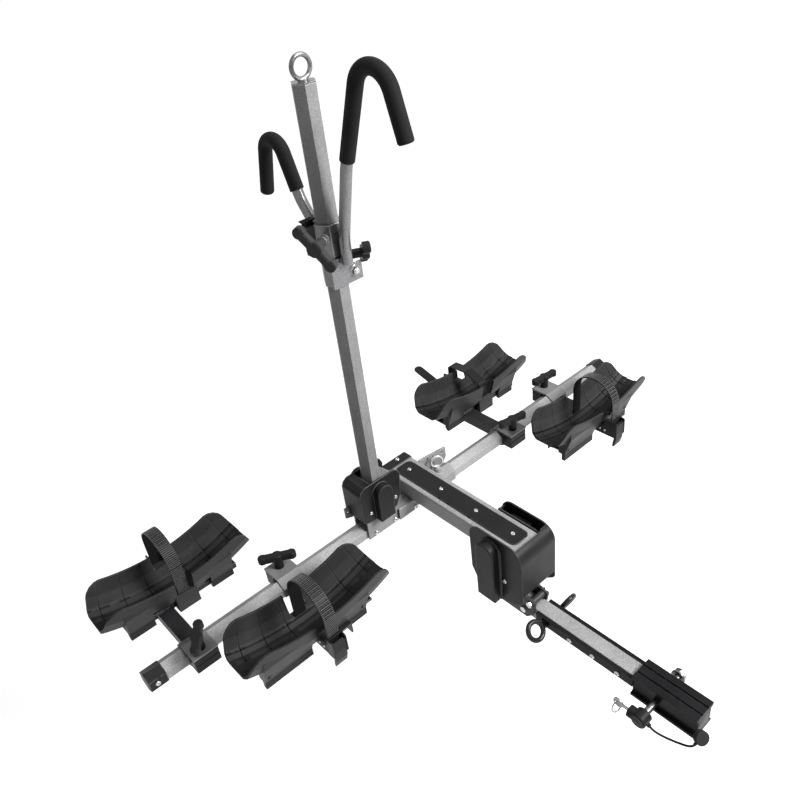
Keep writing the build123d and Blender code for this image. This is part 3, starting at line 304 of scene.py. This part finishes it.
# Eye bolts: drop-forged rings in glossy black, one each side of the stinger, for tie-down straps.
forged_black = finish("forged_black", (0.01, 0.01, 0.01), 0.0, 0.3, fleck=0.2, scale=300, bump=0.05,
                      edge=(0.2, 0.2, 0.2), edge_amount=0.2, coat=0.15, specular=0.2)
coat_nodes(forged_black, "eye_bolts")

# Pin lock with its tether: a black lock body on the hitch pin, and a rubber dust cap on a moulded cord that
# sags from the lock to the sleeve's end. The cord is one smooth limp line.
lock_black = finish("lock_black", (0.012, 0.012, 0.013), 0.0, 0.42, fleck=0.12, scale=800, bump=0.04,
                    edge=(0.09, 0.09, 0.09), edge_amount=0.4)
coat_nodes(lock_black, "pin_lock_body")
rubber = dict(metallic=0.0, rough=0.6, fleck=0.15, scale=1200, bump=0.04, edge_amount=0.1)
cord_rubber = finish("cord_rubber", (0.009, 0.009, 0.009), edge=(0.05, 0.05, 0.05), **rubber)
cap_rubber = finish("cap_rubber", (0.026, 0.026, 0.026), edge=(0.08, 0.08, 0.08), **rubber)
coat_nodes(cap_rubber, "lock_dust_cap")
# the curve's control points in mm, from the lock to the dust cap
tether_points = [(62, 14.936, -11.744), (62, 21.224, -16.689), (56, 38, -23), (49, 60, -24),
                 (50.034, 84.872, -8.334), (44.57, 85.861, -6.061)]
tether_curve = bpy.data.curves.new("lock_tether", "CURVE")
tether_curve.dimensions = "3D"
tether_curve.bevel_depth = 0.002
tether_curve.bevel_resolution = 5
tether_curve.resolution_u = 10
tether_curve.use_fill_caps = True
tether_line = tether_curve.splines.new("NURBS")
tether_line.points.add(len(tether_points) - 1)
for point, (x, y, z) in zip(tether_line.points, tether_points):
    point.co = (x / 1000, y / 1000, z / 1000, 1)
tether_line.order_u = 3
tether_line.use_endpoint_u = True
tether_curve.materials.append(cord_rubber)
tether = bpy.data.objects.new("lock_tether", tether_curve)
scene.collection.objects.link(tether)
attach(tether, "receiver_frame")
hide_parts("tether_cord")

# Pivot plates: thick steel cheeks with a dark phosphate finish, bolted across the stinger.
dark_steel = finish("dark_steel", (0.05, 0.05, 0.052), 0.3, 0.4, fleck=0.2, scale=700, mottle=0.12, bump=0.02,
                    edge=(0.4, 0.4, 0.4), edge_amount=0.4)
coat_nodes(dark_steel, "pivot_plates")

# Front cover and mast cover: shells in satin black with a fine powder texture, whose corners carry a painted
# highlight.
# The beam's inlay and end block, the bar's end caps and the release handle are moulded in a like black.
shell_black = finish("shell_black", (0.014, 0.014, 0.015), 0.0, 0.4, fleck=0.25, scale=700, mottle=0.1,
                     bump=0.03, edge=(0.3, 0.3, 0.305), edge_amount=0.8, radius=0.003, patches=0.36)
coat_nodes(shell_black, "front_cover", "mast_cover", "beam_end_block", "bar_end_caps", "release_handle",
           "beam_inlay")

# Crossbar's carrier and mast: a steel bracket and a steel tube in a darker grey powder coat.
grey_coat = finish("grey_powder_coat", (0.27, 0.27, 0.275), 0.12, 0.38, fleck=0.26, scale=650, mottle=0.1,
                   bump=0.04, edge=(0.8, 0.8, 0.8), edge_amount=0.7, radius=0.0018, specular=0.1, patches=0.4)
coat_nodes(grey_coat, "mast_tube", "carrier_bracket")

# Hooks: bent steel bars on brackets that slide on the mast, in a smoother and glossier grey coat that shows
# long soft highlights.
hook_coat = finish("hook_powder_coat", (0.2, 0.2, 0.205), 0.5, 0.28, fleck=0.2, scale=420, mottle=0.12,
                   bump=0.03, edge=(0.85, 0.85, 0.85), edge_amount=0.8, radius=0.0018, specular=0.2,
                   patches=0.35)
coat_nodes(hook_coat, "lower_hook_arm", "upper_hook_arm")

# Hook sleeves: closed-cell foam with a fine grain, pushed over the bars where they touch a bicycle.
foam = finish("hook_foam", (0.012, 0.012, 0.012), 0.0, 0.75, fleck=0.4, scale=900, bump=0.25,
              edge=(0.05, 0.05, 0.05), edge_amount=0.1)
coat_nodes(foam, "lower_hook_sleeve", "upper_hook_sleeve")

# Knobs: moulded black plastic, one on each tray's clamp and one on the lower hook. The upper hook's large one
# is a paler grey.
knob_plastic = finish("knob_plastic", (0.012, 0.012, 0.0125), 0.0, 0.45, fleck=0.12, scale=700, bump=0.05,
                      edge=(0.12, 0.12, 0.12), edge_amount=0.4, radius=0.0015)
grey_knob = finish("grey_knob_plastic", (0.05, 0.05, 0.051), 0.0, 0.5, fleck=0.15, scale=700, bump=0.05,
                   edge=(0.01, 0.01, 0.01), edge_amount=0.7, radius=0.0015, patches=0.4)
# each tray's clamp along the bar in m, and the way that the tray reaches: 1 towards the vehicle
clamp_places = {"left_rear": (0.542, -1), "left_front": (0.334, 1), "right_rear": (-0.28, -1),
                "right_front": (-0.457, 1)}
coat_nodes(grey_knob, "upper_hook_knob")
coat_nodes(knob_plastic, "lower_hook_knob", *(tray + "_knob" for tray in clamp_places))

# Ratchet straps with their buckles and levers: moulded black plastic, with fine ribs across the straps' outer
# face, whose crests carry a painted highlight. The open strap at the right rear is left plain, because it
# doesn't follow the arch of the others.
strap_look = dict(colour=(0.013, 0.013, 0.014), metallic=0.0, rough=0.4, edge=(0.13, 0.13, 0.13),
                  edge_amount=0.6)
strap_plastic = finish("strap_plastic", **strap_look)
ribbed_strap = finish("ribbed_strap", **strap_look)
# the crossbar's middle line, and from it the centre of the straps' arch
bar_y = -0.608
bar_z = 0.099
arch_from_bar = 0.1545
arch_above_bar = 0.096
arch_radius = 0.0514
arch_skin = 0.0005
rib_pitch = 0.00359
rib_relief = 0.0009


def off_bar(group, given):
    # splits the place into its height's socket and its distance from the bar's middle line
    place = add_node(group, "ShaderNodeSeparateXYZ", {0: given.outputs["Vector"]})
    aside = math_node(group, "ABSOLUTE", math_node(group, "SUBTRACT", place.outputs["Y"], bar_y))
    return place.outputs["Z"], aside


# the ribs are counted along the arch over the wheel and down its legs, and have narrow crests, which a bump
# raises and a painted highlight lightens
crest_gain = 1.6
crest_drop = 0.4
rib_group, given, result = new_group("strap_ribs", [("Vector", "NodeSocketVector", None)],
                                     [("Ribs", "NodeSocketFloat")])
height, aside = off_bar(rib_group, given)
across = math_node(rib_group, "SUBTRACT", aside, arch_from_bar)
above = math_node(rib_group, "SUBTRACT", height, bar_z + arch_above_bar)
on_arch = math_node(rib_group, "GREATER_THAN", above, 0.0)
on_leg = math_node(rib_group, "SUBTRACT", 1.0, on_arch)
arch_run = math_node(rib_group, "MULTIPLY", math_node(rib_group, "ARCTAN2", above, across), arch_radius)
run = math_node(rib_group, "ADD", math_node(rib_group, "MULTIPLY", on_arch, arch_run),
                math_node(rib_group, "MULTIPLY", on_leg, above))
raised = math_node(rib_group, "MAXIMUM", above, 0.0)
span = math_node(rib_group, "POWER",
                 math_node(rib_group, "ADD", math_node(rib_group, "MULTIPLY", across, across),
                           math_node(rib_group, "MULTIPLY", raised, raised)), 0.5)
outside = math_node(rib_group, "GREATER_THAN", span, arch_radius + arch_skin)
wave = math_node(rib_group, "SINE", math_node(rib_group, "MULTIPLY", run, 2 * pi / rib_pitch))
swell = math_node(rib_group, "MULTIPLY_ADD", wave, crest_gain, -crest_drop)
crest = math_node(rib_group, "MAXIMUM", swell, 0.0)
rib_group.links.new(math_node(rib_group, "MULTIPLY", crest, outside), result.inputs["Ribs"])


def on_material(material, group):
    # puts a shared effect into a material, at the piece's own coordinates
    tree = material.node_tree
    place = tree.nodes["Texture Coordinate"].outputs["Object"]
    return tree, add_node(tree, "ShaderNodeGroup", {0: place}, node_tree=group)


def relink(material, factor, colour):
    # lays a second colour over the body colour where the factor says
    tree = material.node_tree
    base = tree.nodes["Principled BSDF"].inputs["Base Color"]
    under = base.links[0].from_socket
    tree.links.new(mix_colour(tree, factor, under, colour), base)


rib_highlight_tint = 0.8
tree, ribs = on_material(ribbed_strap, rib_group)
# painted highlight: the ribs' crests are laid over in a lighter grey, while the bump below raises them
relink(ribbed_strap, math_node(tree, "MULTIPLY", ribs.outputs[0], rib_highlight_tint), (0.2, 0.2, 0.205))
normal_socket = tree.nodes["Principled BSDF"].inputs["Normal"]
rib_bump = add_node(tree, "ShaderNodeBump",
                    {"Distance": rib_relief, "Height": ribs.outputs[0],
                     "Normal": normal_socket.links[0].from_socket})
tree.links.new(rib_bump.outputs["Normal"], normal_socket)
for tray in clamp_places:
    coat_nodes(strap_plastic if tray == "right_rear" else ribbed_strap, tray + "_strap")
    coat_nodes(strap_plastic, tray + "_buckle", tray + "_lever")

# Tray arms with their clamp jaws: black powder-coated steel, clamped round the bar. The plates over the bar
# are left in a greyer, partly bare coat.
arm_coat = finish("arm_coat", (0.03, 0.03, 0.032), 0.2, 0.4, fleck=0.3, scale=600, bump=0.03,
                  edge=(0.5, 0.5, 0.5), edge_amount=0.6, radius=0.0014, patches=0.45)
jaw_coat = finish("jaw_coat", (0.014, 0.014, 0.015), 0.1, 0.4, edge=(0.2, 0.2, 0.2), edge_amount=0.3)
plate_half = 0.047
plate_above_bar = 0.0095
bare_tint = 0.85
tree = arm_coat.node_tree
spot = add_node(tree, "ShaderNodeSeparateXYZ", {0: tree.nodes["Texture Coordinate"].outputs["Object"]})
aside = math_node(tree, "ABSOLUTE", math_node(tree, "SUBTRACT", spot.outputs["Y"], bar_y))
near_bar = math_node(tree, "LESS_THAN", aside, plate_half)
high = math_node(tree, "GREATER_THAN", spot.outputs["Z"], bar_z + plate_above_bar)
bare = math_node(tree, "MULTIPLY", math_node(tree, "MULTIPLY", near_bar, high), bare_tint)
relink(arm_coat, bare, (0.3, 0.3, 0.303))
for tray in clamp_places:
    coat_nodes(arm_coat, tray + "_arm")
    coat_nodes(jaw_coat, tray + "_jaw")

# Troughs: the wheels rest in long moulded troughs of black plastic with three steps down each side. Their
# floors are darkened, partly as tyre wear and partly as painted shade, and each step carries a dark line of
# painted shade. Their tips are rounded off, as cut here.
trough_plastic = finish("trough_plastic", (0.034, 0.034, 0.035), 0.0, 0.45, fleck=0.2, scale=600, mottle=0.2,
                        bump=0.05, edge=(0.16, 0.16, 0.16), edge_amount=0.7, radius=0.001, patches=0.42)
trough_from_bar = 0.136
worn_and_shaded_half = 0.0325
step_places = (0.0098, 0.021, 0.0295)
seam_shade_half = 0.0009
worn_and_shaded_tint = 0.7
seam_shade_tint = 0.85
wear_and_shade_group, given, result = new_group("trough_wear_and_shade", [("Vector", "NodeSocketVector", None)],
                                      [("Floor", "NodeSocketFloat"), ("Seams", "NodeSocketFloat")])
height, aside = off_bar(wear_and_shade_group, given)
off_centre = math_node(wear_and_shade_group, "ABSOLUTE", math_node(wear_and_shade_group, "SUBTRACT", aside, trough_from_bar))
# the floor between the lowest steps is darkened, partly as tyre wear and partly as painted shade
wear_and_shade_group.links.new(math_node(wear_and_shade_group, "LESS_THAN", off_centre, worn_and_shaded_half), result.inputs["Floor"])
# painted shade: a near-black line along each step
seam_shade = 0.0
for step in step_places:
    from_step = math_node(wear_and_shade_group, "ABSOLUTE", math_node(wear_and_shade_group, "SUBTRACT", off_centre, step))
    seam_shade = math_node(wear_and_shade_group, "ADD", seam_shade, math_node(wear_and_shade_group, "LESS_THAN", from_step, seam_shade_half))
wear_and_shade_group.links.new(seam_shade, result.inputs["Seams"])
tree, wear_and_shade = on_material(trough_plastic, wear_and_shade_group)
# the floor's darker colour, part wear and part painted shade, and the steps' painted shade lines, laid over
# the body colour
for outlet, tint, colour in (("Floor", worn_and_shaded_tint, (0.009, 0.009, 0.0095)),
                             ("Seams", seam_shade_tint, (0.002, 0.002, 0.002))):
    relink(trough_plastic, math_node(tree, "MULTIPLY", wear_and_shade.outputs[outlet], tint), colour)

# a trough is bent about this axis, whose place is given from its tray's clamp. At each tip, the corner
# between its rim and its end becomes a round of four facets, whose middle lies inside both by its radius
trough_axis = Vector((0.04, 0, 0.421))
rim_end_angle = radians(23)
rim_radius = 0.345
rim_round = 0.032
facet_turns = (10, 30, 50, 70)
cut_gap = 1e-7
bar_place = Vector((0, bar_y, bar_z))


def tray_way(tray, x, y, z):
    # a direction in the rack from one in the tray's own axes
    way = clamp_places[tray][1]
    return Vector((way * x, way * y, z))


def tray_point(tray, x, y, z):
    # a place in the rack from one in the tray's own axes, which start at its clamp
    clamp_x, way = clamp_places[tray]
    return bar_place + Vector((clamp_x + way * x, way * y, z))


for tray in clamp_places:
    coat_nodes(trough_plastic, tray + "_cradle")
    cradle = bmesh.new()
    cradle.from_mesh(nodes[tray + "_cradle"].data)
    bmesh.ops.remove_doubles(cradle, verts=cradle.verts, dist=weld_gap)
    for end in (-1, 1):
        swing = rim_end_angle - rim_round / (rim_radius + rim_round)
        middle = trough_axis + Vector((end * sin(swing), 0, -cos(swing))) * (rim_radius + rim_round)
        along = Vector((end * cos(rim_end_angle), 0, sin(rim_end_angle)))
        inward = Vector((-end * sin(rim_end_angle), 0, cos(rim_end_angle)))
        divider = along * cos(swing - rim_end_angle) + inward * sin(swing - rim_end_angle)
        hinge = tray_point(tray, *middle)
        facing = tray_way(tray, *divider)
        # only the tip beyond this plane is cut, because the facets' planes run through the rest too
        bmesh.ops.bisect_plane(cradle, geom=[*cradle.verts, *cradle.edges, *cradle.faces], dist=cut_gap,
                               plane_co=hinge, plane_no=facing)
        for turn in facet_turns:
            away = along * cos(radians(turn)) + inward * sin(radians(turn))
            tip = [face for face in cradle.faces
                   if (face.calc_center_median() - hinge).dot(facing) > 0]
            tip_edges = {edge for face in tip for edge in face.edges}
            tip_verts = {vert for face in tip for vert in face.verts}
            cut = bmesh.ops.bisect_plane(cradle, geom=[*tip_verts, *tip_edges, *tip], dist=cut_gap,
                                         plane_co=tray_point(tray, *(middle + away * rim_round)),
                                         plane_no=tray_way(tray, *away), clear_outer=True)
            rim = [part for part in cut["geom_cut"] if isinstance(part, bmesh.types.BMEdge)]
            bmesh.ops.triangle_fill(cradle, edges=rim, use_beauty=True)
    rounded = piece(tray + "_trough", cradle, trough_plastic, tray + "_tray", smooth=3)
    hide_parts(tray + "_cradle")

# Tray screws: steel button heads with a round recess that hold each trough's skirts and the buckle's bracket
# to the arm. Those on the skirts are blackened, those beside the buckle bright.
blackened = finish("blackened_screw", (0.03, 0.03, 0.03), 0.4, 0.35, edge=(0.35, 0.35, 0.35), edge_amount=0.6)


def lathe(mesh, profile, centre, axis, steps=24):
    # turns a profile of (radius, height) points about an axis through the centre, from just off the axis
    across = axis.orthogonal().normalized()
    ring = [mesh.verts.new(centre + across * radius + axis * height) for radius, height in profile]
    edges = [mesh.edges.new(pair) for pair in zip(ring, ring[1:])]
    bmesh.ops.spin(mesh, geom=ring + edges, cent=centre, axis=axis, angle=2 * pi, steps=steps, use_merge=True)


def button_head(radius, height):
    # its recess goes down to a bit under half of its height
    return [(0.0001, height * 0.45), (radius * 0.42, height * 0.45), (radius * 0.45, height),
            (radius * 0.6, height), (radius * 0.85, height * 0.8), (radius, height * 0.3), (radius, 0)]


skirt_screw_ends = (-0.046, 0.158)
skirt_y = 0.1712
skirt_z = 0.024
skirt_lean = (0, 0.943, -0.334)
# the buckle's bracket has screws on both of its faces, each with the way that it looks
bracket_faces = ((0.057, 1), (0.029, -1))
buckle_rows = (0.178, 0.191)
buckle_z = 0.029
for tray in clamp_places:
    skirt_screws = bmesh.new()
    for x in skirt_screw_ends:
        lathe(skirt_screws, button_head(0.0042, 0.002), tray_point(tray, x, skirt_y, skirt_z),
              tray_way(tray, *skirt_lean))
    piece(tray + "_skirt_screws", skirt_screws, blackened, tray + "_tray")
    buckle_screws = bmesh.new()
    for y in buckle_rows:
        for x, side in bracket_faces:
            lathe(buckle_screws, button_head(0.003, 0.0016), tray_point(tray, x, y, buckle_z),
                  tray_way(tray, side, 0, 0), steps=16)
    piece(tray + "_buckle_screws", buckle_screws, zinc_plate, tray + "_tray")

# Hook bracket's bolt: a bright domed hex bolt on a round washer, over the fixing that closes the lower
# bracket round the mast. Both are zinc plated steel.
bolt_place = bar_place + Vector((0.0854, 0.0238, 0.566))
bolt_way = Vector((0, 1, 0))
washer = [(0.0001, 0.0016), (0.0088, 0.0016), (0.0092, 0.0012), (0.0092, 0)]
hex_head = [(0.0001, 0.0086), (0.0036, 0.0084), (0.0058, 0.0072), (0.0068, 0.0056), (0.0068, 0.0014)]
bracket_bolt = bmesh.new()
lathe(bracket_bolt, washer, bolt_place, bolt_way)
lathe(bracket_bolt, hex_head, bolt_place, bolt_way, steps=6)
piece("hook_bracket_bolt", bracket_bolt, zinc_plate, "lower_hook", smooth=30)

# Liner of the upper hook's bracket: a black moulded strip with two lips, pushed over the bracket's top edge
# so that the bracket doesn't mark the mast.
liner_x = 0.1315
liner_y = -0.6305
liner_wide = 0.019
liner_deep = 0.0068
# the strip and its two lips, each with its lower and upper height and how far it stands out
liner_bands = ((0.747, 0.758, 0), (0.7485, 0.7505, 0.0022), (0.7565, 0.7595, 0.0026))
liner_mesh = bmesh.new()
for low, high, grow in liner_bands:
    block(liner_mesh, (liner_x, liner_y, (low + high) / 2),
          (liner_wide + 2 * grow, liner_deep + 2 * grow, high - low))
soften(liner_mesh, width=0.0007, segments=2)
piece("hook_liner", liner_mesh, knob_plastic, "upper_hook")
